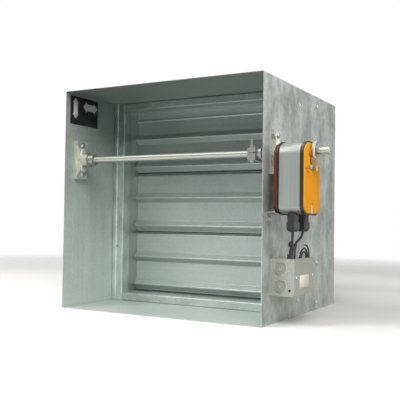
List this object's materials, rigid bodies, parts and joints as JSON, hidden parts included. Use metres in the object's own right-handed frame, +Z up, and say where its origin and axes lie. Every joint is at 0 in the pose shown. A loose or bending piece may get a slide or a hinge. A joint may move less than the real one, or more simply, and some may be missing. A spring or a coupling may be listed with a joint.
{
  "type": "combination fire smoke damper",
  "caption": "Square sleeved duct damper with parallel vee-groove blades, a jackshaft and crank linkage, a side-mounted spring-return actuator and a wired junction box.",
  "frame": {"origin": "centre of the sleeve's underside", "axes": "+Z up, +X along the jackshaft towards the actuator, +Y into the duct from the open front end"},
  "size_m": [0.5726, 0.4064, 0.4572],
  "materials": {
    "galvanised": "satin",
    "stainless": "satin",
    "seal_rubber": "matte",
    "zinc_steel": "satin",
    "cover_orange": "satin",
    "cover_red": "satin",
    "bezel_black": "satin",
    "body_silver": "satin",
    "gland_black": "satin",
    "box_steel": "satin",
    "lead_black": "satin"
  },
  "bodies": {
    "damper_frame": {"sleeve_lower": "galvanised", "sleeve_upper": "galvanised", "frame_sill": "galvanised", "frame_head": "galvanised", "frame_jamb_left": "galvanised", "frame_jamb_right": "galvanised", "head_stop": "galvanised", "sill_stop": "galvanised", "jamb_seal_left": "stainless", "jamb_seal_right": "stainless", "axle_bushes": "stainless", "shaft_bearing_left": "zinc_steel", "shaft_bearing_right": "zinc_steel", "bearing_bolts_left": "zinc_steel", "bearing_bolts_right": "zinc_steel", "actuator_back_cover": "cover_red", "actuator_back_bezel": "bezel_black", "actuator_body": "body_silver", "actuator_front_bezel": "bezel_black", "actuator_front_cover": "cover_orange", "anti_turn_strap": "zinc_steel", "gland_bodies": "gland_black", "gland_nuts": "gland_black", "junction_box": "box_steel", "knockout_discs": "box_steel", "box_cover": "box_steel", "actuator_lead_front": "lead_black", "actuator_lead_back": "lead_black", "lead_bushing": "lead_black", "wire_loop_outer": "lead_black", "wire_loop_middle": "lead_black", "wire_loop_inner": "lead_black"},
    "jackshaft_set": {"jackshaft": "zinc_steel", "drive_crank": "zinc_steel", "crank_clamp_bolt": "zinc_steel", "thrust_washer": "zinc_steel", "shaft_collar": "zinc_steel", "clamp_hub": "zinc_steel", "clamp_jaws": "zinc_steel", "clamp_u_bolt": "zinc_steel", "clamp_nuts": "zinc_steel"},
    "blade_set_bottom": {"blade_bottom": "galvanised", "blade_seal_bottom": "seal_rubber", "blade_axles_bottom": "zinc_steel", "axle_straps_bottom": "zinc_steel", "blade_crank_bottom": "zinc_steel"},
    "blade_set_middle": {"blade_middle": "galvanised", "blade_seal_middle": "seal_rubber", "blade_axles_middle": "zinc_steel", "axle_straps_middle": "zinc_steel", "blade_crank_middle": "zinc_steel"},
    "blade_set_top": {"blade_top": "galvanised", "blade_seal_top": "seal_rubber", "blade_axles_top": "zinc_steel", "axle_straps_top": "zinc_steel", "blade_crank_top": "zinc_steel"},
    "drive_link_body": {"drive_link": "zinc_steel"},
    "tie_bar_body": {"tie_bar": "zinc_steel"}
  },
  "joints": [
    {"name": "jackshaft_turn", "type": "hinge", "parent": "damper_frame", "child": "jackshaft_set", "pos_m": [0, -0.157, 0.314], "axis": [-1, 0, 0], "range_deg": [0, 90], "stiffness_Nm_per_rad": 2, "springref_deg": -57.3},
    {"name": "blade_bottom_turn", "type": "hinge", "parent": "damper_frame", "child": "blade_set_bottom", "pos_m": [0, 0.0212, 0.101], "axis": [-1, 0, 0], "range_deg": [0, 90]},
    {"name": "blade_middle_turn", "type": "hinge", "parent": "damper_frame", "child": "blade_set_middle", "pos_m": [0, 0.0212, 0.2385], "axis": [-1, 0, 0], "range_deg": [0, 90]},
    {"name": "blade_top_turn", "type": "hinge", "parent": "damper_frame", "child": "blade_set_top", "pos_m": [0, 0.0212, 0.376], "axis": [-1, 0, 0], "range_deg": [0, 90]},
    {"name": "drive_link_pivot", "type": "hinge", "parent": "jackshaft_set", "child": "drive_link_body", "pos_m": [0, -0.12093, 0.29672], "axis": [-1, 0, 0], "range_deg": [-90, 0]},
    {"name": "tie_bar_pivot", "type": "hinge", "parent": "blade_set_middle", "child": "tie_bar_body", "pos_m": [0, 0.04241, 0.25971], "axis": [-1, 0, 0], "range_deg": [-90, 0]}
  ],
  "couplings": [
    {"joint": "blade_bottom_turn", "follows": "jackshaft_turn", "ratio": 1},
    {"joint": "blade_middle_turn", "follows": "jackshaft_turn", "ratio": 1},
    {"joint": "blade_top_turn", "follows": "jackshaft_turn", "ratio": 1},
    {"joint": "drive_link_pivot", "follows": "jackshaft_turn", "ratio": -1},
    {"joint": "tie_bar_pivot", "follows": "jackshaft_turn", "ratio": -1}
  ]
}
